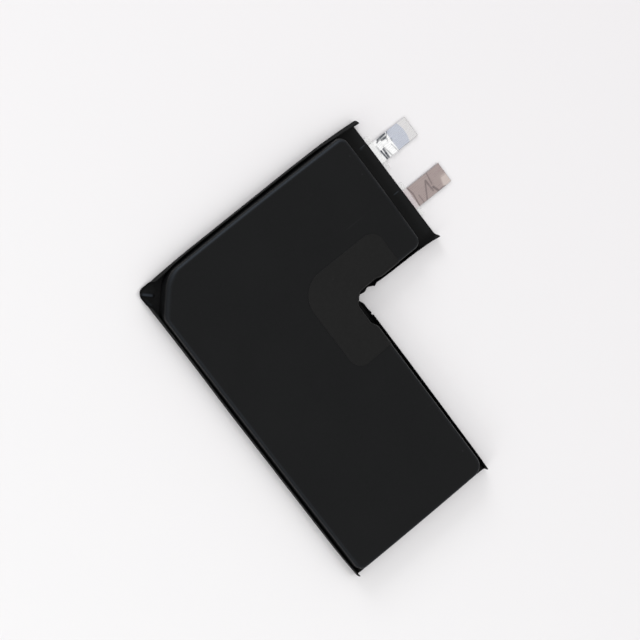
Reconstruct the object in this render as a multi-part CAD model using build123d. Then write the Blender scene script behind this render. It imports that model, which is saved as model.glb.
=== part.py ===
from build123d import *
from build123d.topology import SkipClean
import os
from math import sqrt

# L-shaped lithium-polymer cell of a mobile phone: a black laminated film pouch, drawn into a cup
# round the cell's contents and heat sealed, with the side seals folded up along the cup's walls.
# The film is one sheet, folded over at the far end of the long leg, so that end has no seal.
# Two flat metal tabs leave the flat terrace at the end of the short leg, each in a sealing film,
# and a thin film patch covers the inner corner of the L.
# X runs along the short leg towards the tabs, Y back along the long leg, Z up from the underside.
# The functions work from the square corner that the cut corner replaces; main moves that point.

# cup, as it stands at the underside
cup_length = 77.9
short_leg_reach = 55.7
long_leg_width = 36.8
short_leg_width = 30.2
cell_thickness = 4.2
wall_draft = 2.0
top_edge_radius = 0.8
bottom_edge_radius = 0.25
corner_cut_x = 6.2
corner_cut_y = 7.0
corner_cut_radius = 3.5
back_corner_radius = 2.2
front_corner_radius = 3.2
fold_corner_radius = 2.2
notch_corner_radius = 1.2

# swell of the outer sides, as the radius that each one is curved to
back_swell_radius = 1230.0
terrace_swell_radius = 600.0
fold_swell_radius = 1400.0
side_swell_radius = 6000.0

# seal: two layers of film, a little above the underside, folded up along the sides
film_thickness = 0.1
seal_lift = 0.15
fold_gap = 0.15
flange_height = 2.2
fold_radius = 0.32
web_corner_radius = 1.5

# terrace: the flat seal that the tabs come through, trimmed a little out of square
terrace_depth = 3.6
terrace_skew = 0.25
back_tip_overhang = 0.7
front_tip_overhang = 0.3
fold_ear_length = 1.1

# cut corner: lowered flanges and the pleat that takes up the film left over there
corner_flange_height = 0.85
corner_flange_reach = 4.4
pleat_length = 2.4
pleat_height = 0.7
pleat_thickness = 0.3

# inner corner: the side flanges stop short of it and leave a torn stub of film
back_flange_start = 4.6
side_flange_start = 5.4
notch_relief_radius = 1.6
# share of the stub's length from the corner, and height above the seal
torn_edge = [(-0.1, 0.4), (0.2, 0.8), (0.55, 0.95), (0.7, 0.5), (0.85, 0.3), (1.0, 0.5)]

# tabs, measured from the cut corner's side of the short leg
tab_width = 5.0
tab_thickness = 0.1
tab_reach = 10.4
tab_root_depth = 0.6
positive_tab_place = 8.65
tab_spacing = 12.6

# sealing film round each tab, and the pad that the sealing bars leave over it
tab_film_wall = 0.08
tab_film_reach = 1.2
tab_film_width = 8.4
sleeve_width = 5.8
pad_width = 6.2
pad_start = 1.5
pad_slope = 0.08
pad_end_wall = 0.3

# patch over the inner corner
patch_thickness = 0.08
patch_band_x = 10.1
patch_band_y = 9.7
patch_reach_x = 11.8
patch_reach_y = 12.6
patch_corner_radius = 6.2
patch_end_radius = 3.0
patch_lower_edge = 0.8

# spare length of the uncut film, and reach of the cutters past what they cut
spare = 3.0

seal_thickness = 2 * film_thickness
flange_offset = fold_gap + seal_thickness
seal_top = seal_lift + seal_thickness
seal_middle = seal_lift + film_thickness
flange_top = seal_lift + flange_height
sleeve_thickness = tab_thickness + 2 * tab_film_wall
pad_thickness = sleeve_thickness + seal_thickness
pad_top = seal_middle + pad_thickness / 2
above_film = flange_top + spare
terrace_edge = short_leg_reach + terrace_depth
film_edge = terrace_edge + tab_film_reach


def swollen(start, end, radius):
    """Side of the outline that swells out when the outline is walked anticlockwise."""
    return RadiusArc(start, end, -radius)


def outline(grow, reach, past_fold, cut_corner=False):
    """Plan of the L, moved out by grow, with its short leg ending at reach and its long leg past the fold."""
    low = -short_leg_width - grow
    fold = -cup_length - past_fold
    right = long_leg_width + grow
    start = (-grow, -corner_cut_y) if cut_corner else (-grow, grow)
    finish = (corner_cut_x, grow) if cut_corner else start
    sides = [
        swollen(start, (-grow, fold), side_swell_radius),
        swollen((-grow, fold), (right, fold), fold_swell_radius),
        Line((right, fold), (right, low)),
        Line((right, low), (reach, low)),
        swollen((reach, low), (reach, grow), terrace_swell_radius),
        swollen((reach, grow), finish, back_swell_radius),
    ]
    if cut_corner:
        sides.append(Line(finish, start))
    return make_face(sides)


def round_corners(face, corners):
    """Rounds the corners of a plan nearest to the given points, each with its own radius."""
    for x, y, radius in corners:
        corner = face.vertices().sort_by_distance((x, y, 0))[0]
        face = fillet(corner, radius)
    return face


def prism(face, low, high):
    """Plan pulled straight up from low to high."""
    return extrude(Pos(0, 0, low) * face, high - low, (0, 0, 1))


def side_profile(plane, points):
    """Face with the given corners in an upright plane: along it, and height."""
    return plane * make_face(Polyline(*points, close=True))


def box_between(low, high):
    """Box given by its lowest and highest corners."""
    size = [b - a for a, b in zip(low, high)]
    return Pos(*low) * Box(*size, align=(Align.MIN, Align.MIN, Align.MIN))


def cup(grow=0.0):
    """Drawn cup with its contents; grow gives the same form with a thicker skin."""
    left, right = -grow, long_leg_width + grow
    back, front = grow, -short_leg_width - grow
    reach, fold = short_leg_reach + grow, -cup_length - grow
    plan = round_corners(outline(grow, reach, grow, cut_corner=True), [
        (corner_cut_x, back, corner_cut_radius + grow),
        (left, -corner_cut_y, corner_cut_radius + grow),
        (reach, back, back_corner_radius + grow),
        (reach, front, front_corner_radius + grow),
        (right, front, notch_corner_radius - grow),
        (right, fold, fold_corner_radius + grow),
        (left, fold, fold_corner_radius + grow),
    ])
    solid = extrude(plan, cell_thickness + grow)
    solid = draft(solid.faces().filter_by(Axis.Z, reverse=True), Plane.XY, wall_draft)
    solid = fillet(solid.edges().group_by(Axis.Z)[-1], top_edge_radius + grow)
    return fillet(solid.edges().group_by(Axis.Z)[0], bottom_edge_radius)


def uncut_tray(grow, low, high, fold):
    """Block over the whole of the uncut film, moved out from the cup by grow, rounded below by fold."""
    plan = round_corners(outline(grow, terrace_edge + spare + grow, spare + grow), [
        (-grow, grow, web_corner_radius + grow - flange_offset),
        (long_leg_width + grow, -short_leg_width - grow, notch_corner_radius - grow),
    ])
    block = prism(plan, low, high)
    return fillet(block.edges().group_by(Axis.Z)[0], fold)


def seal_tray():
    """Sealed film round the cup: a floor at the seal's height with its sides folded up."""
    shell = uncut_tray(flange_offset, seal_lift, flange_top, fold_radius)
    return shell - uncut_tray(fold_gap, seal_top, above_film, fold_radius - seal_thickness)


def past_terrace():
    """Everything past the terrace's trimmed edge, up to the top of the pads."""
    low = -short_leg_width - 2 * spare
    far = terrace_edge + 3 * spare
    plan = make_face(Polyline((terrace_edge, 2 * spare), (terrace_edge + terrace_skew, low),
                              (far, low), (far, 2 * spare), close=True))
    return prism(plan, -spare, pad_top)


def tip_trim(edge, overhang, low, high):
    """Cut that slants the tip of a side flange out past the terrace's edge, between two places along Y."""
    far = edge + 3 * spare
    face = side_profile(Plane.XZ, [(edge, pad_top), (edge + overhang, flange_top),
                                   (edge + overhang, above_film), (far, above_film), (far, pad_top)])
    return extrude(Pos(0, low, 0) * face, high - low, (0, 1, 0))


def fold_trim():
    """Cut that opens the tray at the folded end and leaves a pointed ear past it on each side flange."""
    ear = -cup_length - fold_ear_length
    far = ear - 2 * spare
    face = side_profile(Plane.YZ, [(-cup_length, -spare), (-cup_length, seal_top), (ear, flange_top),
                                   (ear, above_film), (far, above_film), (far, -spare)])
    return extrude(Pos(-spare, 0, 0) * face, long_leg_width + 2 * spare, (1, 0, 0))


def stub_trim(plane, corner, length, direction, place):
    """Cut that leaves a torn stub of one side flange, from the inner corner to where the flange starts."""
    torn = [(corner + length * share, seal_top + height) for share, height in torn_edge]
    closing = [(torn[-1][0], above_film), (torn[0][0], above_film)]
    return extrude(place * side_profile(plane, torn + closing), spare, direction)


def notch_trims():
    """Cuts that end the side flanges short of the inner corner and clear the film out of the corner."""
    x, y = long_leg_width, -short_leg_width
    relief = Pos(x + notch_corner_radius, y - notch_corner_radius, 0)
    return [
        stub_trim(Plane.XZ, x, back_flange_start, (0, -1, 0), Pos(0, y, 0)),
        stub_trim(Plane.YZ, y, -side_flange_start, (1, 0, 0), Pos(x, 0, 0)),
        relief * Cylinder(notch_relief_radius, 2 * above_film),
    ]


def cut_corner_trim():
    """Cut that slopes the flanges down towards the cut corner and levels them round it."""
    start = -(corner_flange_reach - flange_offset) / sqrt(2)
    low = seal_lift + corner_flange_height
    across = Plane((0, 0, 0), x_dir=(-1, 1, 0), z_dir=(1, 1, 0))
    face = side_profile(across, [(start, flange_top), (0, low), (spare, low),
                                 (spare, above_film), (start, above_film)])
    return extrude(face, 2 * corner_flange_reach, both=True)


def pleat():
    """Double layer of film that stands across the cut corner, highest at the folded-up corner."""
    start = web_corner_radius * (sqrt(2) - 1) - flange_offset * sqrt(2) + film_thickness
    end = start + pleat_length
    along = Plane((0, 0, 0), x_dir=(1, -1, 0), z_dir=(-1, -1, 0))
    face = side_profile(along, [(start, seal_middle), (start, seal_top + pleat_height),
                                (end, seal_top + film_thickness), (end, seal_middle)])
    return extrude(face, pleat_thickness / 2, both=True)


def seal_block(place, start, end, width, thickness):
    """Flat block in the middle of the seal, centred on one tab's place along the terrace."""
    return box_between((start, -place - width / 2, seal_middle - thickness / 2),
                       (end, -place + width / 2, seal_middle + thickness / 2))


def tab(place):
    """Metal strip with a split line where its bare end, the terminal, leaves the sealing film."""
    sealed = seal_block(place, short_leg_reach - tab_root_depth, film_edge, tab_width, tab_thickness)
    bare = seal_block(place, film_edge, terrace_edge + tab_reach, tab_width, tab_thickness)
    with SkipClean():
        return sealed + bare


def sleeve(place, end=film_edge):
    """Sealing film wrapped closely round one tab, from inside its pad to its free edge."""
    return seal_block(place, short_leg_reach + pad_start + pad_end_wall, end, sleeve_width, sleeve_thickness)


def tab_film(place):
    """Sealing film of one tab: a sleeve through the seal, and two fused wings past the terrace's edge."""
    wings = seal_block(place, short_leg_reach, film_edge, tab_film_width, 2 * tab_film_wall)
    return (wings & past_terrace()) + sleeve(place) - tab(place)


def pad(place):
    """Raised pad that the sealing bars leave in the terrace, over and under one tab."""
    block = seal_block(place, short_leg_reach + pad_start, terrace_edge + spare, pad_width, pad_thickness)
    return chamfer(block.edges().filter_by(Axis.X), pad_slope)


def pouch(core, places):
    """Film pouch with its contents: cup, seal tray, pads, and a slot through the seal for each tab."""
    front_edge = terrace_edge + terrace_skew
    middle = -short_leg_width / 2
    trims = [past_terrace(), fold_trim(), cut_corner_trim()] + notch_trims()
    trims.append(tip_trim(terrace_edge, back_tip_overhang, middle, spare))
    trims.append(tip_trim(front_edge, front_tip_overhang, -short_leg_width - spare, middle))
    film = seal_tray() + [pad(place) for place in places] - trims
    slots = [sleeve(place, terrace_edge + spare) for place in places] + [tab(place) for place in places]
    return core + [film, pleat()] - slots


def corner_patch(core):
    """Thin film round the inner corner: flat on the cup's face and folded down its two walls."""
    left, right = long_leg_width - patch_band_x, long_leg_width + patch_reach_x
    back, front = -short_leg_width + patch_band_y, -short_leg_width - patch_reach_y
    notch_x, notch_y = long_leg_width + patch_thickness, -short_leg_width - patch_thickness
    plan = make_face(Polyline((left, back), (right, back), (right, notch_y), (notch_x, notch_y),
                              (notch_x, front), (left, front), close=True))
    plan = round_corners(plan, [(left, back, patch_corner_radius), (right, back, patch_end_radius),
                                (left, front, patch_end_radius)])
    region = prism(plan, patch_lower_edge, cell_thickness + patch_thickness)
    return (cup(patch_thickness) & region) - core


def main():
    places = {"positive": positive_tab_place, "negative": positive_tab_place + tab_spacing}
    core = cup()
    nodes = {"pouch": pouch(core, places.values()), "corner_patch": corner_patch(core)}
    for name, place in places.items():
        nodes[f"{name}_tab"] = tab(place)
        nodes[f"{name}_tab_film"] = tab_film(place)
    boxes = [solid.bounding_box() for solid in nodes.values()]
    middle_x = (min(box.min.X for box in boxes) + max(box.max.X for box in boxes)) / 2
    middle_y = (min(box.min.Y for box in boxes) + max(box.max.Y for box in boxes)) / 2
    to_centre = Pos(-middle_x, -middle_y, -min(box.min.Z for box in boxes))
    os.makedirs("parts", exist_ok=True)
    for name, solid in nodes.items():
        export_step(to_centre * solid, f"parts/{name}.step")


main()
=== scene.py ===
"""Looks of an L-shaped pouch cell: a black film pouch with its side seals folded up, two metal tabs in
sealing film, and a thin film patch over the inner corner of the L. It lies on a pale floor."""
import math

import bpy
import numpy as np
from mathutils import Matrix, Vector
from mathutils.geometry import delaunay_2d_cdt

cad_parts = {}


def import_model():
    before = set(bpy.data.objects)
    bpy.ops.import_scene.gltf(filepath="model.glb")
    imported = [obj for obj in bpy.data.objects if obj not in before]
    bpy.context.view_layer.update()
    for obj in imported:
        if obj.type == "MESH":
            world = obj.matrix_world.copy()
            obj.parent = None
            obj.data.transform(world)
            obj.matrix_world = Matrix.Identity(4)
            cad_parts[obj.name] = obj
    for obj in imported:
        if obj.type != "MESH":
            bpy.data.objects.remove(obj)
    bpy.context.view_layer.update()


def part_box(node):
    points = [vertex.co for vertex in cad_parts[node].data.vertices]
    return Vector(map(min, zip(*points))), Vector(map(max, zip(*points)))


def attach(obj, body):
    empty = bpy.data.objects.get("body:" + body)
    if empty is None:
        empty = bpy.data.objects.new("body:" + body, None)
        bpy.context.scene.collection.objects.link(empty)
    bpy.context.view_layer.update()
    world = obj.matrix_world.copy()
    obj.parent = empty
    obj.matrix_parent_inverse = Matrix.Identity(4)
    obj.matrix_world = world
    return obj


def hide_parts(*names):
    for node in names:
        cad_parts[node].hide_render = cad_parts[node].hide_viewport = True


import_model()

# Sizes are in millimetres, and lengths in the frame are metres. X runs along the short leg to the tabs,
# and Y is below nought down the long leg. A plan place is a complex number, x + 1j * y.
MM = 0.001

# cup, as it stands at the underside
cup_length = 77.9
short_leg_reach = 55.7
long_leg_width = 36.8
short_leg_width = 30.2
cell_thickness = 4.2
top_edge_radius = 0.88
bottom_edge_radius = 0.25
corner_cut_x = 6.2
corner_cut_y = 7.0
corner_cut_radius = 3.5
corner_cut_back_radius = 7.0
back_corner_radius = 2.2
front_corner_radius = 2.3
fold_corner_radius = 2.2
fold_inner_corner_radius = 3.0
notch_corner_radius = 1.2
least_bend = 0.4

# points of the cup: spacing along its sides, steps round each corner and edge, rings up its wall, how far
# in past the upper edge the flat rings lie, and the spacing and margin of the points on its two faces
side_step = 0.9
arc_steps = 12
lower_edge_steps = 4
wall_rings = 6
upper_edge_steps = 12
flat_rings = (0.4, 0.9)
face_spacing = 1.2
face_margin = 0.5
underside_spacing = 4.0
underside_margin = 1.0

# hollow of the upper face, how far in from its border it is full, and the waves and ripples on it
face_hollow = 0.03
face_fade = 5.0
face_wave = 0.014
face_ripple = 0.008

# swell of the outer sides, as the radius that each one is curved to
back_swell_radius = 1230.0
terrace_swell_radius = 600.0
fold_swell_radius = 1400.0
side_swell_radius = 6000.0

# lean of each wall of the cup
left_draft = 7.0
fold_draft = 1.5
inner_draft = 6.0
front_draft = 5.5
terrace_draft = 7.0
back_draft = 7.5
chamfer_draft = 9.0

# pinch of the walls next to the inner corner of the L: its depth, the window that each wall has, as the
# places where it starts and is full from the left, the right, below and above, and its share by height
pinch_side = 0.55
pinch_front = 0.3
PINCH_BESIDE = ((32.0, 36.0), (41, 38), (-37.6, -36.6), (-30.7, -31.6))
PINCH_UNDER = ((37.0, 38.2), (43.6, 42.4), (-34, -31), (-25.5, -29.0))
PINCH_SHARES = [(0, 0), (0.5, 0.9), (1.0, 1.6), (3.4, 1.75), (cell_thickness, 1.0)]

# seal, measured at the middle of its two layers
seal_thickness = 0.2
seal_middle = 0.25
inner_fold_line = 0.25
fold_radius = 0.22
flange_height = 2.1
web_corner_radius = 1.5
hidden_width = 0.9

# up a flange, as shares of its height: where its foot ends, where its tip has moved in full, and where
# its worn rim starts
flange_foot = 0.16
foot_rows = 4
tip_full_at = 0.4
rim_start = 0.6

# spacing of the points along the seal: it is finest at the inner corner's stubs, and fine at the cut
# corner and over the end zone next to the folded end
back_spacing = 0.8
side_spacing = 0.9
corner_spacing = 0.14
stub_spacing = 0.12
end_spacing = 0.2
end_zone = 3

# terrace: the strip of seal that the tabs come through
terrace_edge = 59.3
terrace_skew = 0.25
terrace_spacing = 0.45
terrace_rim = 0.25

# how much of the pressed film's dullness is lost towards the free edge, and where
edge_gloss = 0.75
gloss_start = 57.1
gloss_full = 58.9

# pad that the sealing bars leave over each tab, and the painted highlight line along its sharp edge
pad_half_width = 3.1
pad_thickness = 0.46
pad_start = 57.2
pad_line_edge = 0.14
pad_line_core = 0.05
pad_line_end = 58.8
pad_line_fade = 0.4

# metal strips: their creases start where they come free of the sealing film, and stay between two heights
tab_root = 55.1
positive_tab_place = 8.65
tab_free_start = 60.3
tab_free_fade = 0.8
tab_wave = 0.02
tab_dip = -0.14
tab_rise = 0.3
tab_step = 0.09
strip_rim = 0.14

# sealing film: thickness of its wings, what the wrapped tab adds between them, and half the wrap's width
sleeve_wing = 0.14
sleeve_wrap = 0.12
sleeve_half_width = 3.1
sleeve_slope = 0.5
sleeve_wave = 0.02
sleeve_step = 0.12

# patch: the film fills most of the lift that keeps it off the cup, and the last of its lines but one lies
# close to its rim
patch_band_x = 10.1
patch_band_y = 9.7
patch_reach_x = 11.8
patch_reach_y = 12.6
patch_corner_radius = 6.2
patch_end_radius = 3.0
patch_lower_edge = 0.8
patch_lift = 0.08
patch_film_share = 0.9
patch_stations = 90
patch_lines = 16
patch_rim_share = 0.985

# farthest that the cup's lower ring lies from the plan line of the wall that it belongs to
wall_reach = 1.5

# camera, fitted to the straight ridges of the photo
camera_distance = 473.2
camera_turn = math.radians(37.78)
camera_tilt_x = math.radians(2.33)
camera_tilt_y = math.radians(14.66)
camera_aim = (26.87, -28.67, 4.2)
camera_lens = 123.75

# lamps, which all face the cell: place, size, power, colour, and whether it shows only in reflections
LAMPS = {
    "key": ((1.6, -1.6, 2.0), 1.8, 18, (1, 1, 1), False),
    "left_fill": ((-0.88, -0.21, 0.4), 0.35, 1.6, (1, 1, 1), False),
    "back_fill": ((0.18, 0.88, 0.4), 0.35, 3.0, (1, 1, 1), False),
    "left_strip": ((-0.88, -0.21, 0.4), 0.35, 1.2, (0.76, 0.88, 1), True),
    "back_strip": ((0.18, 0.88, 0.4), 0.35, 2.2, (0.76, 0.88, 1), True),
}
# light of the surroundings: even on things, and overhead and at the horizon in what they reflect
even_light = 0.82
overhead_light = 0.8
horizon_light = 0.12

# floor: half its side, its two tones of painted light, lighter and darker, and the way that it turns from
# the first to the second
floor_reach = 1.5
FLOOR_PAINTED_LIGHT_TONES = ((0.85, 0.842, 0.847), (0.785, 0.767, 0.778))
FLOOR_PAINTED_LIGHT_WAY = (0.946, 0.32, 0)


def cad_millimetres(node):
    """Lowest and highest corner of a node, in millimetres."""
    return [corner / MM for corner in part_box(node)]


def square_corner():
    """Place in the frame of the square corner that the cut corner replaces. All plans start from it."""
    low, high = cad_millimetres("positive_tab")
    return np.array([low.x - tab_root, (low.y + high.y) / 2 + positive_tab_place, 0.0])


ORIGIN = square_corner()


def placed(points):
    """Points in millimetres from the square corner, as metres in the frame."""
    return (np.asarray(points, float) + ORIGIN) * MM


def plan_and_height(plan, height):
    """Points from complex plan places and heights."""
    plan = np.asarray(plan)
    return np.stack([plan.real, plan.imag, np.broadcast_to(height, plan.shape)], -1)


def ease(edge_low, edge_high, value):
    """Smooth step from 0 at edge_low to 1 at edge_high."""
    share = np.clip((np.asarray(value, float) - edge_low) / (edge_high - edge_low), 0, 1)
    return share * share * (3 - 2 * share)


# ---- plan of the cup


def swell(length, radius):
    """Height of the bow of a side of that length and radius of curve."""
    return length ** 2 / (8 * radius) if radius else 0.0


def bowed_side(start, end, radius, shares):
    """Points along a side that bows out to the right of its walk."""
    run = end - start
    bow = swell(abs(run), radius) * 4 * shares * (1 - shares)
    return start + run * shares - 1j * run / abs(run) * bow


# each corner of the cup with its radius, and the swell radius and draft of the side that starts there
CUP_CORNERS = [
    (complex(0, -corner_cut_y), corner_cut_radius, side_swell_radius, left_draft),
    (complex(0, -cup_length), fold_corner_radius, fold_swell_radius, fold_draft),
    (complex(long_leg_width, -cup_length), fold_inner_corner_radius, 0.0, inner_draft),
    (complex(long_leg_width, -short_leg_width), -notch_corner_radius, 0.0, front_draft),
    (complex(short_leg_reach, -short_leg_width), front_corner_radius, terrace_swell_radius,
     terrace_draft),
    (complex(short_leg_reach, 0), back_corner_radius, back_swell_radius, back_draft),
    (complex(corner_cut_x, 0), corner_cut_back_radius, 0.0, chamfer_draft),
]


def cross(a, b):
    """Cross product of two plan vectors."""
    return (a.conjugate() * b).imag


def cup_ring(height, pull=0.0):
    """Plan of the cup at a height, moved in by pull: as many points, in the same order, each time.
    A corner with a radius below nought turns the other way, as at the inner corner of the L."""
    count = len(CUP_CORNERS)
    places = [corner[0] for corner in CUP_CORNERS]
    insets = [height * math.tan(math.radians(corner[3])) + pull for corner in CUP_CORNERS]
    arcs = []
    for i, (place, radius, _, _) in enumerate(CUP_CORNERS):
        before = place - places[i - 1]
        after = places[(i + 1) % count] - place
        before, after = before / abs(before), after / abs(after)
        turn = np.angle(after / before)
        corner = place + (insets[i - 1] * after - insets[i] * before) / cross(before, after)
        bend = radius - (insets[i - 1] + insets[i]) / 2
        if radius > 0:
            bend = max(bend, least_bend)
        start = corner - before * bend * math.tan(turn / 2)
        centre = start + 1j * before * bend
        arcs.append(centre + (start - centre) * np.exp(1j * turn * np.linspace(0, 1, arc_steps + 1)))
    points = []
    for i, (place, _, radius, _) in enumerate(CUP_CORNERS):
        steps = max(2, round(abs(places[(i + 1) % count] - place) / side_step))
        shares = np.linspace(0, 1, steps + 1)[1:-1]
        points += list(arcs[i])
        points += list(bowed_side(arcs[i][-1], arcs[(i + 1) % count][0], radius, shares))
    return np.array(points)


def inward(ring):
    """Unit vectors from a ring, walked anticlockwise, to its inside."""
    step = np.roll(ring, -1) - np.roll(ring, 1)
    return 1j * step / abs(step)


def inside(polygon, points):
    """Which points lie inside a polygon, by counting its sides to their right."""
    a, b = polygon, np.roll(polygon, -1)
    p = points[:, None]
    spans = (a.imag > p.imag) != (b.imag > p.imag)
    with np.errstate(divide="ignore", invalid="ignore"):
        crossing = a.real + (p.imag - a.imag) * (b.real - a.real) / (b.imag - a.imag)
    return (spans & (p.real < crossing)).sum(1) % 2 == 1


def cap(border, margin_ring, spacing):
    """Fills a plan with triangles over an even field of points, so that its face can undulate."""
    low, high = border.real.min(), border.real.max()
    rows = np.arange(border.imag.min(), border.imag.max(), spacing * math.sqrt(3) / 2)
    field = []
    for i, y in enumerate(rows):
        xs = np.arange(low + (i % 2) * spacing / 2, high, spacing)
        field += [complex(x, y) for x in xs]
    field = np.array(field)
    field = field[inside(margin_ring, field)]
    every = np.concatenate([border, field])
    flat = [Vector((p.real, p.imag)) for p in every]
    _, _, faces, originals, _, _ = delaunay_2d_cdt(flat, [], [list(range(len(border)))], 1, 1e-6)
    return field, [[originals[v][0] for v in face] for face in faces]


def places_along(line, shares):
    """Places at shares of the way along a line of plan points."""
    lengths = np.concatenate([[0], np.cumsum(abs(np.diff(line)))])
    at = shares * lengths[-1]
    return np.interp(at, lengths, line.real) + 1j * np.interp(at, lengths, line.imag)


# ---- meshes


def stand(name, data):
    """New object in the scene."""
    made = bpy.data.objects.new(name, data)
    bpy.context.scene.collection.objects.link(made)
    return made


def make_object(name, points, faces):
    """Smooth mesh object from points in millimetres from the square corner."""
    mesh = bpy.data.meshes.new(name)
    mesh.from_pydata([tuple(p) for p in placed(points)], [], [tuple(int(v) for v in f) for f in faces])
    mesh.update()
    mesh.polygons.foreach_set("use_smooth", [True] * len(mesh.polygons))
    return stand(name, mesh)


def grid_faces(index, closed=False):
    """Quads over a grid of point numbers; a closed grid joins its last column to its first."""
    across = np.concatenate([index, index[:, :1]], 1) if closed else index
    corners = [across[:-1, :-1], across[:-1, 1:], across[1:, 1:], across[1:, :-1]]
    return [list(quad) for quad in zip(*(c.ravel() for c in corners))]


def nearest(points, border):
    """Distance of each point to the nearest point of a border."""
    return np.array([abs(border - p).min() for p in points])


def face_height(plan, border):
    """Slight hollows of the upper face, where the film sinks between the foils, fading to its border."""
    x, y = plan.real, plan.imag
    waves = (face_wave * np.sin(x * 0.21 + 0.7) * np.sin(y * 0.17 + 0.4)
             + face_ripple * np.sin(x * 0.47 - y * 0.31 + 1.9))
    return (waves - face_hollow) * ease(0, face_fade, nearest(plan, border))


def cup_levels():
    """Height and pull of each ring up the cup: the lower edge, the wall, the upper edge, the flat."""
    levels = [(bottom_edge_radius * (1 - math.cos(angle)), bottom_edge_radius * (1 - math.sin(angle)))
              for angle in np.linspace(0, math.pi / 2, lower_edge_steps + 1)[:-1]]
    wall_top = cell_thickness - top_edge_radius
    levels += [(height, 0.0) for height in np.linspace(bottom_edge_radius, wall_top, wall_rings)]
    levels += [(wall_top + top_edge_radius * math.sin(angle), top_edge_radius * (1 - math.cos(angle)))
               for angle in np.linspace(0, math.pi / 2, upper_edge_steps + 1)[1:]]
    return levels + [(cell_thickness, top_edge_radius + step) for step in flat_rings]


def window(plan, left, right, low, high):
    """How far plan places lie inside a window with soft edges."""
    x, y = plan.real, plan.imag
    return ease(*left, x) * ease(*right, x) * ease(*low, y) * ease(*high, y)


def pinch(plan, share):
    """Pinches the walls next to the inner corner of the L in, where the film was cut and drawn round."""
    beside, under = window(plan, *PINCH_BESIDE), window(plan, *PINCH_UNDER)
    return plan + share * (1j * under * pinch_front - beside * pinch_side)


def cup_surface(lift=0.0):
    """Plans and heights of the cup's rings, with the surface moved out by lift."""
    plans, heights = [], []
    for height, pull in cup_levels():
        rounding = min(pull / top_edge_radius, 1.0) if height > cell_thickness / 2 else 0.0
        share = np.interp(height, *zip(*PINCH_SHARES))
        plans.append(pinch(cup_ring(height, pull - lift * (1 - rounding)), share))
        heights.append(height + lift * rounding)
    return plans, heights


# painted highlight round the cup's upper edge, by the way that the wall faces in degrees: how pale it
# is, and how far it reaches past the edge's rounding
PAINTED_EDGE_BAND = [(-180, 0.32, 0), (-90, 0.25, 0), (0, 0.18, 0), (90, 1.15, -0.1), (115, 0.5, 0.25),
                (135, 0.3, 0.25), (155, 0.3, 0.25), (180, 0.38, 0)]


def painted_edge_band(plan, height, pull):
    """How strong the painted highlight is at the points of one ring of the cup."""
    rounded = (height - (cell_thickness - top_edge_radius)) / top_edge_radius
    facing = np.degrees(np.angle(-inward(plan)))
    angles, strengths, reaches = zip(*PAINTED_EDGE_BAND)
    strength = np.interp(facing, angles, strengths)
    reach = top_edge_radius + np.interp(facing, angles, reaches)
    return ease(0.3, 0.8, rounded) * ease(reach, reach - 0.5, pull) * strength


def cup_object():
    """Drawn cup: rings up its wall and round its edges, closed by a face above and below."""
    plans, heights = cup_surface()
    edge_bands = [painted_edge_band(plan, *level) for plan, level in zip(plans, cup_levels())]
    points = np.concatenate([plan_and_height(p, h) for p, h in zip(plans, heights)])
    index = np.arange(len(points)).reshape(len(plans), -1)
    faces = grid_faces(index, closed=True)
    top_field, top_faces = cap(plans[-1], plans[-1] + face_margin * inward(plans[-1]), face_spacing)
    start = len(points)
    numbers = np.concatenate([index[-1], start + np.arange(len(top_field))])
    faces += [list(numbers[f]) for f in top_faces]
    height = cell_thickness + face_height(top_field, plans[-1])
    points = np.concatenate([points, plan_and_height(top_field, height)])
    bottom_field, bottom_faces = cap(plans[0], plans[0] + underside_margin * inward(plans[0]),
                                     underside_spacing)
    start = len(points)
    numbers = np.concatenate([index[0], start + np.arange(len(bottom_field))])
    faces += [list(numbers[f][::-1]) for f in bottom_faces]
    points = np.concatenate([points, plan_and_height(bottom_field, 0.0)])
    piece = make_object("pouch_cup", points, faces)
    edge_bands = np.concatenate(edge_bands)
    # painted highlight: a pale bluish band round the cup's upper edge
    set_attribute(piece.data, "creased", np.pad(edge_bands, (0, len(points) - len(edge_bands))))
    return piece


# ---- seal, laid out flat with its fold marked


class Sheet:
    """Seal laid out flat: its points and faces, and the values that are kept for each point. They say how
    far it lies past the fold, which way the fold turns it and with what lean and curl, how far it is
    raised over a tab, and how far the film is a cut rim, pressed by the sealing bars, or painted with a
    highlight."""

    PLAIN = {"past": 0.0, "outward": 0.0, "lean": 0.0, "curl": 0.0, "raised": 0.0, "rim": 0.0,
             "pressed": 1.0, "creased": 0.0}

    def __init__(self):
        self.points, self.faces = [], []
        self.values = {name: [] for name in self.PLAIN}

    def add(self, points, **values):
        """Adds an array of points with their values, and gives their numbers in the same shape."""
        shape = points.shape[:-1]
        start = len(self.points)
        self.points += list(points.reshape(-1, 3))
        for name, plain in self.PLAIN.items():
            self.values[name] += list(np.broadcast_to(values.get(name, plain), shape).ravel())
        return start + np.arange(math.prod(shape)).reshape(shape)


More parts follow.
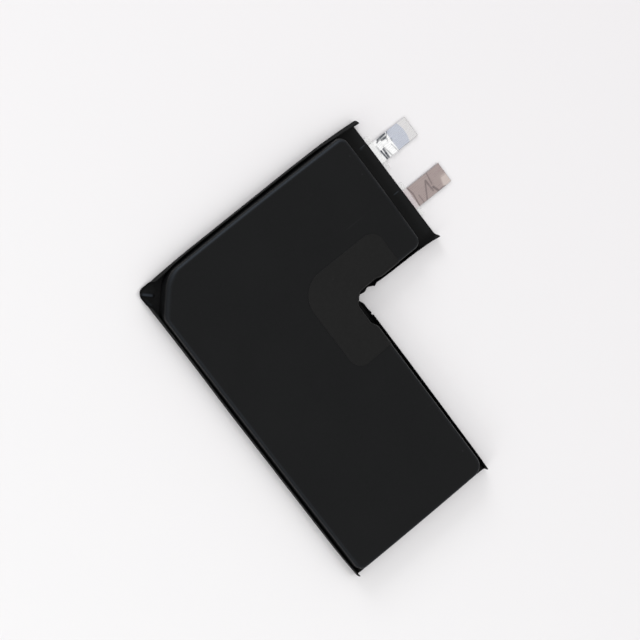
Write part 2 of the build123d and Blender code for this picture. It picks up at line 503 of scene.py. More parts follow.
def strip(sheet, fold, inner, height, lean, curl, tip, drag, lift, columns=14, rows=12, hold=0.6):
    """Side seal: a flat part from inner to the fold, and a flange past it. Lift gives the height of the
    flat part at each share of its width. Tip moves the flange along the side, drag is how far the whole
    flat part moves with it, and hold how far its fold does. The others are arrays along the side, walked
    anticlockwise."""
    along = np.gradient(fold)
    along = along / abs(along)
    outward = -1j * along
    start = fold - outward * fold_radius
    shares = np.linspace(0, 1, columns)
    follow = drag[:, None] + (hold - drag)[:, None] * shares ** 5
    flat = inner[:, None] + (start - inner)[:, None] * shares + (tip * along)[:, None] * follow
    raise_by = lift(flat, shares)
    up_shares = np.concatenate([np.linspace(0, flange_foot, foot_rows + 1)[1:],
                                np.linspace(flange_foot, 1, rows - foot_rows)[1:]])
    moved = (tip * along)[:, None] * np.minimum(up_shares / tip_full_at, 1) * (1 - hold)
    plan = np.concatenate([flat, flat[:, -1:] + moved], 1)
    level = seal_middle + np.concatenate([raise_by, raise_by[:, -1:] * np.ones(len(up_shares))], 1)
    past = np.concatenate([np.zeros(flat.shape), height[:, None] * up_shares], 1)
    rim = np.concatenate([np.zeros(columns), ease(rim_start, 1, up_shares)])[None, :]
    # painted highlight along the pleat at the cut corner, and a fainter one by the left side
    index = sheet.add(plan_and_height(plan, level), past=past, outward=outward[:, None],
                      lean=lean[:, None], curl=curl[:, None], rim=rim, creased=painted_pleat_band(plan))
    sheet.faces += grid_faces(index)
    return index


def spread(ends, step):
    """Even places from the first end to the last, about a step apart."""
    count = max(2, round(abs(ends[1] - ends[0]) / step) + 1)
    return np.linspace(ends[0], ends[1], count)


def along_keys(places, keys, rounding=0.0):
    """Values at places from (place, value) keys, with the bends between them rounded."""
    places = np.asarray(places, float)
    at, values = zip(*sorted(keys))
    steps = np.linspace(-rounding, rounding, 9)
    return np.mean([np.interp(places + step, at, values) for step in steps], 0)


terrace_start = 52.5
terrace_stations = np.linspace(terrace_edge, terrace_start, 26)

# zone of the cut corner along the back and down the left side, length over which a tip moves, and how far
# the flat part of a seal is dragged with its tip
corner_zone_x = 9.0
corner_zone_y = 10.0
tip_zone = 2
end_drag = 0.3

# gusset at each end of the folded end: how high it stands, how far in the seal's inner edge moves for it
# and over what length, and where it starts and is full
gusset_rise = 1.7
gusset_reach = 1.6
gusset_zone = 2.2
gusset_fade = (1.4, 0.1)

# cuts where the full flange starts next to the inner corner: the places before, at and after each one
front_cut = (41.36, 41.4, 41.44)
inner_cut = (-35.76, -35.7, -35.64)

# lines of the folds: x and y along the back, y and x down the left side, x and y along the front
BACK_FOLD = [(1, 0.02), (2.5, 0.05), (7.3, 0.3), (13, 0.46), (42, 0.6), (49.9, 0.54), (54.8, 0.34),
             (57.8, 0.12), (60.5, -0.15)]
LEFT_FOLD = [(-1, -0.26), (-7, -0.26), (-12.7, -0.22), (-22, -0.28), (-32, -0.4), (-61, -0.4),
             (-69.5, -0.38), (-75, -0.3), (-78, -0.05)]
FRONT_FOLD = [(37, -30.52), (42, -30.6), (52, -30.62), (57, -30.72), (59.5, -30.98), (60.2, -31.08)]

# flange past its fold: its height, its lean in degrees, its curl, and how far its tip moves along the
# side. All are by x along the back, and from the cut corner on by y down the left side.
BACK_HEIGHT = [(60, flange_height), (3.9, flange_height), (3.4, 1.3), (2.9, 0.75), (2.2, 0.6), (1.4, 0.5),
               (-1.5, 0.5), (-2.8, 0.6), (-3.4, 0.9), (-4.0, 1.6), (-4.4, flange_height),
               (-80, flange_height)]
BACK_LEAN = [(60, -20), (57.8, -18), (54.5, -16), (51, -9), (48, -6), (44, -4), (30, -3), (14, -3),
             (9, -6), (7.5, -12), (6, -16), (4.1, -16), (3.4, -5), (2.9, 20), (1.5, 40), (-1.5, 40),
             (-2.8, 25), (-3.8, 0), (-4.4, -8), (-7, -9), (-10, -6), (-30, -4), (-60, -3), (-75.5, -2),
             (-77.9, -4)]
BACK_CURL = [(60, 0.05), (54, 0.02), (44, 0), (-80, 0)]
BACK_TIP = [(terrace_edge, -1.0), (terrace_edge - tip_zone, 0), (-cup_length + tip_zone, 0),
            (-cup_length, 1.0)]

# the same for the front, by x, and for the side from the folded end to the inner corner, by y: both have
# torn stubs towards that corner, and no curl
FRONT_HEIGHT = [(37.6, 0.2), (38.4, 0.38), (39.1, 0.48), (39.5, 0.4), (40.2, 0.05), (40.7, 0.15),
                (41.36, 0.5), (41.42, flange_height), (60, flange_height)]
FRONT_LEAN = [(37.6, 60), (41.36, 60), (41.42, -10), (43.5, -3), (46, 0), (53, 3), (57, 9), (60, 15)]
FRONT_TIP = [(terrace_edge - 1.5, 0), (terrace_edge, 0.3)]
INNER_HEIGHT = [(-80, flange_height), (-35.7, flange_height), (-35.62, 0.78), (-35.46, 0.7), (-35.2, 1.1),
                (-34.6, 0.95), (-33.8, 0.8), (-32.9, 0.85), (-32.4, 0.7), (-31.6, 0.2)]
INNER_LEAN = [(-77.9, 1), (-76.3, 4), (-73, 6), (-48, 10), (-36, 9), (-35.7, 9), (-35.62, 36), (-31, 36)]
INNER_TIP = [(-cup_length, -1.1), (-cup_length + tip_zone, 0)]

# inner edge of the web at the cut corner, hidden under the cup
WEB_EDGE = [complex(corner_cut_x + 1.2, -0.8), complex(corner_cut_x, -1.2), complex(0.8, -corner_cut_y),
            complex(0.65, -corner_cut_y - 1.2)]

# pleat across the web, and the lower fold beside it
pleat_start = complex(-0.08, -0.86)
pleat_end = complex(1.66, -2.5)
pleat_side_start = complex(0.05, -2.5)
pleat_side_end = complex(0.5, -4.1)
pleat_rise = 0.75
pleat_front_width = 0.2
pleat_back_width = 0.75
second_rise = 0.22
second_offset = 1.1
second_width = 0.3
web_wave = 0.04


def beside_line(plan, start, end):
    """Share of the way along a line between two plan points, and the distance to its left."""
    place = (plan - start) / (end - start)
    return place.real, place.imag * abs(end - start)


def web_height(plan):
    """Height of the web at the cut corner over the flat seal: its pleat, and the fold beside it."""
    share, aside = beside_line(plan, pleat_start, pleat_end)
    width = np.where(aside > 0, pleat_back_width, pleat_front_width)
    crest = pleat_rise * ease(1.25, 1.0, share) * np.clip(0.35 + 0.65 * share, 0, 1)
    pleat = crest * np.clip(1 - abs(aside) / width, 0, 1) * ease(-0.5, 0.0, share)
    second = second_rise * np.exp(-((aside + second_offset) / second_width) ** 2) * ease(1.3, 0.5, share)
    waves = web_wave * np.sin(plan.real * 2.3 + plan.imag * 1.1) * np.sin(plan.imag * 2.9 - plan.real)
    near = ease(5.5, 3.5, plan.real) * ease(-6.0, -4.0, plan.imag)
    return (pleat + second + waves) * near


def painted_pleat_band(plan):
    """Where a highlight is painted: a band along the pleat, and a fainter one by the left side."""
    share, aside = beside_line(plan, pleat_start, pleat_end)
    band = ease(-0.1, 0.05, aside) * ease(0.5, 0.3, aside)
    band *= ease(0.0, 0.25, share) * ease(1.1, 0.95, share)
    share, aside = beside_line(plan, pleat_side_start, pleat_side_end)
    side = ease(0.3, 0.05, abs(aside)) * ease(-0.1, 0.3, share) * ease(1.1, 0.7, share)
    return np.maximum(band, 0.6 * side)


def gusset(end, side):
    """Lift of a side seal next to the folded end, where its two layers come together beside the cup."""
    def lift(plan, shares):
        near = ease(end + gusset_fade[0], end + gusset_fade[1], plan.imag)
        return near * (gusset_rise * (1 - shares ** 6))[None, :] + side(plan)
    return lift


def back_and_left_side(sheet):
    """Side seal from the terrace, round the cut corner, down to the folded end."""
    corner_x = LEFT_FOLD[0][1] + web_corner_radius
    corner_y = BACK_FOLD[0][1] - web_corner_radius
    xs = np.concatenate([terrace_stations, spread((terrace_start, corner_zone_x), back_spacing)[1:],
                         spread((corner_zone_x, corner_x), corner_spacing)[1:]])
    back = xs + 1j * along_keys(xs, BACK_FOLD, 1.5)
    ys = np.concatenate([spread((corner_y, -corner_zone_y), corner_spacing),
                         spread((-corner_zone_y, -cup_length + end_zone), side_spacing)[1:],
                         spread((-cup_length + end_zone, -cup_length), end_spacing)[1:]])
    left = along_keys(ys, LEFT_FOLD, 2.5) + 1j * ys
    turn = np.exp(1j * np.linspace(math.pi / 2, math.pi, 20)[1:-1])
    centre = complex(left[0].real + web_corner_radius, back[-1].imag - web_corner_radius)
    fold = np.concatenate([back, centre + web_corner_radius * turn, left])
    # places along the walk: x on the back side, below nought on the left side
    place = np.concatenate([xs, np.linspace(corner_x, corner_y, 20)[1:-1], ys])
    step = np.gradient(fold)
    inner = fold + 1j * step / abs(step) * hidden_width
    zone = (place < corner_zone_x) & (place > -corner_zone_y)
    walked = np.cumsum(abs(np.diff(fold[zone], prepend=fold[zone][0])))
    web = np.array([inner[~zone & (place > 0)][-1], *WEB_EDGE, inner[~zone & (place < 0)][0]])
    inner[zone] = places_along(web, walked / walked[-1])
    inner += ease(-cup_length + gusset_zone, -cup_length, place) * gusset_reach
    return strip(sheet, fold, inner, along_keys(place, BACK_HEIGHT),
                 np.radians(along_keys(place, BACK_LEAN, 0.2)), along_keys(place, BACK_CURL),
                 along_keys(place, BACK_TIP), end_drag * ease(-cup_length + tip_zone, -cup_length, place),
                 gusset(-cup_length, web_height), columns=26)


def level_side(plan, _=None):
    """No further lift."""
    return np.zeros(plan.shape)


def front_side(sheet):
    """Side seal from the inner corner of the L to the terrace, with a torn stub at its start."""
    xs = np.concatenate([spread((long_leg_width + 0.9, front_cut[0]), stub_spacing), [front_cut[1]],
                         spread((front_cut[2], terrace_start), back_spacing)[1:],
                         terrace_stations[::-1][1:]])
    skewed = xs + terrace_skew * np.clip((xs - terrace_start) / (terrace_edge - terrace_start), 0, 1)
    fold = skewed + 1j * along_keys(xs, FRONT_FOLD, 1.0)
    inner = skewed + 1j * (-short_leg_width - inner_fold_line + hidden_width)
    none = np.zeros(len(xs))
    return strip(sheet, fold, inner, along_keys(xs, FRONT_HEIGHT), np.radians(along_keys(xs, FRONT_LEAN)),
                 none, along_keys(xs, FRONT_TIP), none, level_side)


def inner_side(sheet):
    """Side seal from the folded end to the inner corner of the L, with a torn stub at its end."""
    ys = np.concatenate([spread((-cup_length, -cup_length + end_zone), end_spacing),
                         spread((-cup_length + end_zone, inner_cut[0]), side_spacing)[1:],
                         [inner_cut[1]], spread((inner_cut[2], -short_leg_width - 1.0), stub_spacing)[1:]])
    fold = (long_leg_width + inner_fold_line) + 1j * ys
    inner = fold - hidden_width - ease(-cup_length + gusset_zone, -cup_length, ys) * gusset_reach
    return strip(sheet, fold, inner, along_keys(ys, INNER_HEIGHT), np.radians(along_keys(ys, INNER_LEAN)),
                 np.zeros(len(ys)), along_keys(ys, INNER_TIP),
                 end_drag * ease(-cup_length + tip_zone, -cup_length, ys),
                 gusset(-cup_length, level_side), hold=0.9)


def tab_places():
    """Middle of each tab along the terrace, below nought."""
    return [(low.y + high.y) / 2 - ORIGIN[1] for low, high in
            (cad_millimetres("positive_tab"), cad_millimetres("negative_tab"))]


def terrace(sheet, back_index, front_index):
    """Flat seal between the two side seals, pressed round each tab: the pad over a tab has one sharp
    edge, and fades out on its other sides."""
    count = len(terrace_stations)
    back = back_index[:count, 0]
    front = front_index[::-1, 0][:count]
    points = np.array(sheet.points)
    y_back, y_front = points[back[0], 1], points[front[0], 1]
    edges = [place + pad_half_width for place in tab_places()]
    lines = [y for y in spread((y_back, y_front), terrace_spacing)[1:-1]
             if min(abs(y - edge) for edge in edges) > 0.3]
    lines += [edge + off for edge in edges for off in (-0.2, -0.12, -0.04, 0.04, 0.12, 0.2)]
    shares = (np.array(sorted(lines, reverse=True)) - y_back) / (y_front - y_back)
    start, end = points[back], points[front]
    middle = start[:, None] + (end - start)[:, None] * shares[None, :, None]
    raised, creased = np.zeros(middle.shape[:2]), np.zeros(middle.shape[:2])
    for place in tab_places():
        off = middle[..., 1] - place
        # painted highlight: a pale line along each pad's sharp edge
        creased = np.maximum(creased, ease(pad_line_edge, pad_line_core, abs(off - pad_half_width)))
        raised = np.maximum(raised, ease(pad_half_width + 0.1, pad_half_width - 0.1, off)
                            * ease(-pad_half_width - 0.8, -pad_half_width + 1.2, off))
    raised *= ease(pad_start - 0.3, pad_start + 1.2, middle[..., 0])
    creased *= ease(pad_start, pad_start + pad_line_fade, middle[..., 0])
    creased *= ease(pad_line_end, pad_line_end - pad_line_fade, middle[..., 0])
    rim = ease(terrace_edge - terrace_rim, terrace_edge, middle[..., 0])
    pressed = 1 - edge_gloss * ease(gloss_start, gloss_full, middle[..., 0])
    index = sheet.add(middle, raised=raised, rim=rim, pressed=pressed, creased=creased)
    sheet.faces += grid_faces(np.concatenate([back[:, None], index, front[:, None]], 1)[:, ::-1])


def fold_up_tree():
    """Turns the flat seal up at its fold: an arc, then a straight flange with some lean and curl."""
    tree = bpy.data.node_groups.new("fold_up", "GeometryNodeTree")
    for label, kind in (("Geometry", "Geometry"), ("Fold Radius", "Float"), ("Material", "Material")):
        tree.interface.new_socket(label, in_out="INPUT", socket_type="NodeSocket" + kind)
    tree.interface.new_socket("Geometry", in_out="OUTPUT", socket_type="NodeSocketGeometry")
    given = add(tree, "NodeGroupInput")
    past, lean, curl = (attribute(tree, name) for name in ("past_fold", "lean", "curl"))
    outward = attribute(tree, "outward", "FLOAT_VECTOR")
    radius = given.outputs["Fold Radius"]
    turn = calc(tree, "SUBTRACT", math.pi / 2, lean)
    arc_length = calc(tree, "MULTIPLY", radius, turn)
    on_arc = calc(tree, "DIVIDE", calc(tree, "MINIMUM", past, arc_length), radius)
    free = calc(tree, "MAXIMUM", calc(tree, "SUBTRACT", past, arc_length), 0.0)
    out = calc(tree, "ADD", calc(tree, "MULTIPLY", radius, calc(tree, "SINE", on_arc)),
               calc(tree, "MULTIPLY", free, calc(tree, "COSINE", turn)))
    bend = calc(tree, "MULTIPLY", calc(tree, "MULTIPLY", free, free), curl)
    out = calc(tree, "SUBTRACT", out, bend)
    rounded = calc(tree, "MULTIPLY", radius, calc(tree, "COSINE", on_arc))
    up = calc(tree, "ADD", calc(tree, "SUBTRACT", radius, rounded),
              calc(tree, "MULTIPLY", free, calc(tree, "SINE", turn)))
    aside = add(tree, "ShaderNodeVectorMath", {0: outward, "Scale": out}, operation="SCALE").outputs[0]
    upward = add(tree, "ShaderNodeCombineXYZ", {"Z": up}).outputs[0]
    offset = add(tree, "ShaderNodeVectorMath", {0: aside, 1: upward}, operation="ADD").outputs[0]
    moved = add(tree, "GeometryNodeSetPosition",
                {"Geometry": given.outputs["Geometry"], "Offset": offset})
    finish_geometry(tree, moved.outputs[0], given.outputs["Material"])
    return tree


# ---- node helpers


def add(tree, kind, inputs=(), **settings):
    """Adds a node; its inputs are values, or the sockets that feed them."""
    made = tree.nodes.new(kind)
    for name, value in settings.items():
        setattr(made, name, value)
    for key, value in dict(inputs).items():
        if isinstance(value, bpy.types.NodeSocket):
            tree.links.new(value, made.inputs[key])
        else:
            made.inputs[key].default_value = value
    return made


def calc(tree, operation, *values):
    """Output of a Math node."""
    return add(tree, "ShaderNodeMath", dict(enumerate(values)), operation=operation).outputs[0]


def attribute(tree, name, kind="FLOAT"):
    """Named attribute in a geometry tree."""
    return add(tree, "GeometryNodeInputNamedAttribute", {"Name": name}, data_type=kind).outputs[0]


def finish_geometry(tree, geometry, material):
    """Ends a geometry tree with real meshes and their material."""
    real = add(tree, "GeometryNodeRealizeInstances", {"Geometry": geometry})
    painted = add(tree, "GeometryNodeSetMaterial", {"Geometry": real.outputs[0], "Material": material})
    add(tree, "NodeGroupOutput", {"Geometry": painted.outputs[0]})


def use_tree(piece, tree, **values):
    """Puts a geometry tree on a piece, with its inputs set by name."""
    modifier = piece.modifiers.new(tree.name, "NODES")
    modifier.node_group = tree
    sockets = {item.name.replace(" ", "_").lower(): item.identifier for item in tree.interface.items_tree
               if item.in_out == "INPUT"}
    for name, value in values.items():
        modifier[sockets[name]] = value


def bake_modifiers(piece):
    """Turns a piece with its modifiers into a plain mesh."""
    graph = bpy.context.evaluated_depsgraph_get()
    mesh = bpy.data.meshes.new_from_object(piece.evaluated_get(graph))
    piece.modifiers.clear()
    piece.data = mesh
    return piece


def set_attribute(mesh, name, values, kind="FLOAT"):
    """Stores one value or vector for each point of a mesh."""
    data = mesh.attributes.new(name, kind, "POINT").data
    data.foreach_set("value" if kind == "FLOAT" else "vector", np.asarray(values, np.float32).ravel())


def seal_object(material):
    """Seal of the pouch, folded up along its sides."""
    sheet = Sheet()
    back_index = back_and_left_side(sheet)
    front_index = front_side(sheet)
    inner_side(sheet)
    terrace(sheet, back_index, front_index)
    piece = make_object("folded_seal", np.array(sheet.points), [f[::-1] for f in sheet.faces])
    values = {name: np.array(kept) for name, kept in sheet.values.items()}
    set_attribute(piece.data, "past_fold", values["past"] * MM)
    set_attribute(piece.data, "curl", values["curl"] / MM)
    set_attribute(piece.data, "outward", plan_and_height(values["outward"], 0.0), "FLOAT_VECTOR")
    for name in ("lean", "rim", "pressed", "creased"):
        set_attribute(piece.data, name, values[name])
    group = piece.vertex_groups.new(name="padded")
    thin = seal_thickness / pad_thickness
    for i, raised in enumerate(values["raised"]):
        group.add([i], thin + (1 - thin) * float(raised), "REPLACE")
    use_tree(piece, fold_up_tree(), fold_radius=fold_radius * MM, material=material)
    thick = piece.modifiers.new("thickness", "SOLIDIFY")
    thick.thickness = pad_thickness * MM
    thick.offset = 0
    thick.use_even_offset = True
    thick.vertex_group = "padded"
    return bake_modifiers(piece)


# ---- patch over the inner corner of the L


def arc(centre, radius, start, end, steps=10):
    """Points along an arc between two angles in degrees."""
    return centre + radius * np.exp(1j * np.radians(np.linspace(start, end, steps)))


def patch_object(material):
    """Film patch: it lies on the upper face and is drawn over the edges and down the walls."""
    low_end = -short_leg_width - patch_reach_y
    far_end = long_leg_width + patch_reach_x
    left = long_leg_width - patch_band_x
    top = -short_leg_width + patch_band_y
    end, corner = patch_end_radius, patch_corner_radius
    outline = np.concatenate([
        arc(complex(left + end, low_end + end), end, 270, 180),
        arc(complex(left + corner, top - corner), corner, 180, 90, 16),
        arc(complex(far_end - end, top - end), end, 90, 0)])
    plans, heights = cup_surface(patch_lift)
    base = plans[0]
    beside = (base.imag > low_end) & (base.imag < -short_leg_width)
    beside &= abs(base.real - long_leg_width) < wall_reach
    under = (base.real < far_end) & (base.real > long_leg_width)
    under &= abs(base.imag + short_leg_width) < wall_reach
    picked = np.nonzero(beside | under)[0]
    even = np.linspace(0, 1, patch_stations)
    lines, levels = [], []
    for plan, height in zip(plans, heights):
        if height > patch_lower_edge and height < cell_thickness + patch_lift - 1e-6:
            line = plan[picked[0]:picked[-1] + 1].copy()
            line[0] = complex(line[0].real, low_end)
            line[-1] = complex(far_end, line[-1].imag)
            lines.append(places_along(line, even))
            levels.append(np.full(patch_stations, height))
    edge = lines[-1]
    outer = places_along(outline, even)
    for share in [*np.linspace(0, 1, patch_lines)[1:-1], patch_rim_share, 1]:
        line = edge + (outer - edge) * share
        lines.append(line)
        levels.append(cell_thickness + patch_lift + face_height(line, plans[-1]))
    points = np.stack([plan_and_height(line, level) for line, level in zip(lines, levels)])
    index = np.arange(len(lines) * patch_stations).reshape(len(lines), -1)
    piece = make_object("corner_patch_film", points.reshape(-1, 3), grid_faces(index))
    rim = np.zeros(index.shape)
    rim[-1], rim[:, 0], rim[:, -1] = 1, 1, 1
    set_attribute(piece.data, "rim", rim.ravel())
    piece.data.materials.append(material)
    thick = piece.modifiers.new("thickness", "SOLIDIFY")
    thick.thickness = patch_lift * patch_film_share * MM
    thick.offset = -1
    return bake_modifiers(piece)


# ---- tabs and sealing films


def strip_object(name, low, high, thickness, level, step):
    """Thin strip between two plan corners, with a thickness and a level for each place."""
    plan = spread((low[0], high[0]), step)[None, :] + 1j * spread((low[1], high[1]), step)[:, None]
    middle, half = level(plan), thickness(plan) / 2
    points = np.concatenate([plan_and_height(plan, middle + half).reshape(-1, 3),
                             plan_and_height(plan, middle - half).reshape(-1, 3)])
    index = np.arange(plan.size).reshape(plan.shape)
    faces = grid_faces(index) + [f[::-1] for f in grid_faces(index + plan.size)]
    border = np.concatenate([index[0, :-1], index[:-1, -1], index[-1, :0:-1], index[:0:-1, 0]])
    faces += grid_faces(np.stack([border + plan.size, border]), closed=True)
    piece = make_object(name, points, faces)
    rim = np.minimum.reduce([plan.real - low[0], high[0] - plan.real,
                             plan.imag - low[1], high[1] - plan.imag])
    set_attribute(piece.data, "rim", np.tile(ease(strip_rim, 0, rim).ravel(), 2))
    return piece, plan


def from_line(plan, start, end):
    """Distance of each place from a line between two plan points, and the side that it lies on."""
    run = end - start
    share = np.clip(((plan - start) * run.conjugate()).real / abs(run) ** 2, 0, 1)
    away = plan - (start + share * run)
    return abs(away), np.sign(cross(run, plan - start))


# creases of the tabs: each runs between two plan points, with its height, its width on its left and its
# width on its right. Places are measured from the middle of the tab's width, at the terrace edge.
ALUMINIUM_CREASES = [
    ((1.5, 2.6), (5.1, 2.0), 0.16, 0.5, 0.35),
    ((1.7, 1.3), (3.0, 0.2), -0.1, 0.5, 0.5),
    ((2.9, 1.0), (3.5, -2.6), 0.17, 0.42, 0.5),
    ((1.4, 0.4), (1.7, -2.6), 0.12, 0.3, 0.6),
    ((2.1, -0.6), (2.3, -2.6), -0.14, 0.3, 0.3),
    ((4.4, 2.6), (3.9, 0.6), 0.14, 0.25, 0.5),
    ((3.9, 0.6), (5.0, -2.6), 0.16, 0.22, 0.7),
    ((4.9, 2.6), (5.5, 1.9), 0.08, 0.3, 0.6),
    ((6.0, 1.9), (5.5, 0.6), 0.03, 0.3, 0.3),
    ((5.5, 0.6), (5.9, -1.8), 0.03, 0.3, 0.3),
    ((7.6, 1.2), (7.8, -1.4), 0.025, 0.25, 0.25),
]
NICKEL_CREASES = [
    ((1.35, 2.6), (1.75, 0.6), -0.06, 0.3, 0.3),
    ((1.75, 0.6), (1.3, -2.6), -0.06, 0.3, 0.3),
    ((3.6, -2.6), (5.7, 1.2), 0.1, 0.3, 1.0),
    ((5.7, 1.2), (5.8, -1.7), 0.1, 1.0, 0.3),
    ((2.6, -0.4), (2.6, -2.6), 0.05, 0.25, 0.4),
    ((6.9, 2.6), (6.4, 0.0), 0.06, 0.25, 0.5),
    ((6.4, 0.0), (7.6, -2.6), 0.07, 0.4, 0.6),
    ((8.3, -2.6), (9.6, 0.2), 0.05, 0.5, 0.5),
]
# painted dark reflections and shade in the creases: each runs between two plan points, with its width and
# its strength
ALUMINIUM_PAINTED_DARK = [((2.0, 1.8), (2.6, 2.1), 0.16, 1.0), ((2.5, 2.15), (4.4, 2.45), 0.36, 1.0),
                    ((3.2, 1.7), (4.2, 1.6), 0.3, 1.0), ((3.9, 1.8), (4.3, 1.0), 0.2, 0.5),
                    ((1.6, -0.2), (1.75, -2.4), 0.21, 1.0), ((2.3, -0.2), (2.25, -2.4), 0.25, 1.0),
                    ((1.35, 1.2), (1.45, -0.8), 0.2, 0.4), ((1.8, -1.0), (1.85, -2.4), 0.12, 0.6),
                    ((2.6, 0.2), (3.1, -2.5), 0.12, 0.55), ((4.2, 1.2), (4.1, 0.6), 0.1, 0.5),
                    ((4.4, -0.4), (4.7, -2.5), 0.1, 0.6),
                    ((5.15, 2.4), (4.4, 1.6), 0.12, 0.8), ((4.95, 0.1), (5.1, 0.6), 0.2, 0.35)]
NICKEL_PAINTED_DARK = [((1.35, 2.6), (1.75, 0.6), 0.16, 0.8), ((1.75, 0.6), (1.3, -2.6), 0.16, 0.8),
                 ((3.4, -2.6), (5.6, 1.2), 0.17, 0.8), ((5.7, 1.2), (5.8, -1.6), 0.2, 0.8),
                 ((2.6, -0.4), (2.6, -2.6), 0.13, 0.7), ((6.9, 2.6), (6.4, -0.3), 0.13, 0.8),
                 ((6.3, -1.0), (6.9, -2.6), 0.25, 0.9), ((6.6, -2.5), (8.6, -2.5), 0.2, 0.9),
                 ((1.4, 2.5), (9.9, 2.5), 0.12, 0.6)]


def crease_height(plan, origin, creases):
    """Height of a strip that was creased along those lines."""
    height = 0.0
    for start, end, rise, left, right in creases:
        away, side = from_line(plan - origin, complex(*start), complex(*end))
        height = height + rise * np.exp(-away / np.where(side > 0, left, right))
    return height


def painted_dark_marks(plan, origin, painted_dark_lines):
    """How far dark reflections and shade are painted along the metal's creases."""
    painted_dark = np.zeros(plan.shape)
    for start, end, width, strength in painted_dark_lines:
        away, _ = from_line(plan - origin, complex(*start), complex(*end))
        painted_dark = np.maximum(painted_dark, strength * ease(width * 1.5, width * 0.5, away))
    return painted_dark


def aluminium_zones(place):
    """How far each place on the positive strip belongs to its start and to its far end, where highlights
    are painted.
    """
    return ease(5.1, 4.8, place.real), ease(8.45, 8.7, place.real + 0.08 * place.imag ** 2)


def nickel_zones(place):
    """The same for the negative strip: its start lies under the sealing film, and a highlight is painted
    on one corner of its far end.
    """
    # painted highlight on one corner of the far end
    wear_or_highlight = ease(8.7, 9.3, place.real - 0.3 * place.imag) * ease(0.2, -0.8, place.imag)
    return ease(1.4, 1.0, place.real), wear_or_highlight


def tab_object(name, creases, painted_dark_lines, zones):
    """Metal strip of one tab, with the creases of handling past the sealing film."""
    low, high = cad_millimetres(name)
    low, high = np.array(low) - ORIGIN, np.array(high) - ORIGIN
    origin = complex(terrace_edge, (low[1] + high[1]) / 2)

    def level(plan):
        free = ease(tab_free_start, tab_free_start + tab_free_fade, plan.real)
        waves = tab_wave * np.sin(plan.real * 1.3) * np.sin(plan.imag * 0.9)
        lifted = np.clip(crease_height(plan, origin, creases) + waves, tab_dip, tab_rise)
        return (high[2] + low[2]) / 2 + free * lifted

    piece, plan = strip_object(name.replace("_tab", "_strip"), low, high,
                               lambda plan: np.full(plan.shape, high[2] - low[2]), level, tab_step)
    # painted dark reflections and shade along the creases
    set_attribute(piece.data, "painted_dark", np.tile(painted_dark_marks(plan, origin, painted_dark_lines).ravel(), 2))
    start, end = zones(plan - origin)
    set_attribute(piece.data, "far_end", np.tile(end.ravel(), 2))
    set_attribute(piece.data, "near_end", np.tile(start.ravel(), 2))
    return piece


def film_object(name):
    """Sealing film of one tab: thicker where the tab passes through it."""
    low, high = cad_millimetres(name)
    low, high = np.array(low) - ORIGIN, np.array(high) - ORIGIN
    middle = (low[1] + high[1]) / 2

    def thickness(plan):
        aside = abs(plan.imag - middle)
        return sleeve_wing + sleeve_wrap * ease(sleeve_half_width, sleeve_half_width - sleeve_slope, aside)

    def level(plan):
        waves = sleeve_wave * np.sin(plan.imag * 2.1) * ease(terrace_edge, high[0], plan.real)
        return (high[2] + low[2]) / 2 + waves

    return strip_object(name.replace("_film", "_sleeve"), low, high, thickness, level, sleeve_step)[0]


# ---- materials


# tones of each metal: plain, in the rolling lines, painted dark in a crease, a painted highlight at the
# far
# end, and next to the film: a painted highlight on the aluminium, the tone under the sealing film on the
# nickel
ALUMINIUM_COLOURS = ((0.64, 0.67, 0.77), (0.72, 0.75, 0.83), (0.015, 0.022, 0.04), (0.9, 0.885, 0.885),
                     (0.98, 0.98, 0.98))
NICKEL_COLOURS = ((0.46, 0.375, 0.365), (0.505, 0.42, 0.4), (0.22, 0.18, 0.18), (0.74, 0.64, 0.6),
                  (0.58, 0.47, 0.49))
film_gloss = 0.14


def effect(name, inputs, outputs):
    """New shader node group, with the sockets of its two ends."""
    tree = bpy.data.node_groups.new(name, "ShaderNodeTree")
    for label, value in inputs:
        socket = tree.interface.new_socket(label, in_out="INPUT", socket_type="NodeSocketFloat")
        socket.default_value = value
    for label in outputs:
        tree.interface.new_socket(label, in_out="OUTPUT", socket_type="NodeSocketFloat")
    return tree, tree.nodes.new("NodeGroupInput").outputs, tree.nodes.new("NodeGroupOutput").inputs


def feed(tree, ends, **sockets):
    """Links sockets to the inputs of a shader, or to the end of an effect, by name."""
    for name, socket in sockets.items():
        tree.links.new(socket, ends[name.replace("_", " ").title()])


def noise(tree, scale, detail=2.0, stretch=(1, 1, 1), turn=0.0):
    """Noise on Object coordinates."""
    place = add(tree, "ShaderNodeTexCoord").outputs["Object"]
    mapped = add(tree, "ShaderNodeMapping", {"Vector": place, "Scale": stretch, "Rotation": (0, 0, turn)})
    return add(tree, "ShaderNodeTexNoise",
               {"Vector": mapped.outputs[0], "Scale": scale, "Detail": detail}).outputs[0]


def between_values(tree, value, low, high, to_low=0.0, to_high=1.0):
    """Value taken from one range to another, and held inside it."""
    return add(tree, "ShaderNodeMapRange", {"Value": value, "From Min": low, "From Max": high,
                                            "To Min": to_low, "To Max": to_high}).outputs[0]


def film_grain():
    """Fine grain of a matt film, and the slow change of its tone."""
    tree, given, result = effect("film_grain", [("Grain Scale", 7000.0), ("Cloud Scale", 90.0)],
                                 ["Height", "Speckle", "Cloud"])
    speckle = noise(tree, calc(tree, "MULTIPLY", given["Grain Scale"], 0.4), 1.0)
    cloud = noise(tree, given["Cloud Scale"], 3.0)
    feed(tree, result, height=noise(tree, given["Grain Scale"], 3.0),
         speckle=between_values(tree, speckle, 0.3, 0.7), cloud=between_values(tree, cloud, 0.3, 0.7))
    return tree


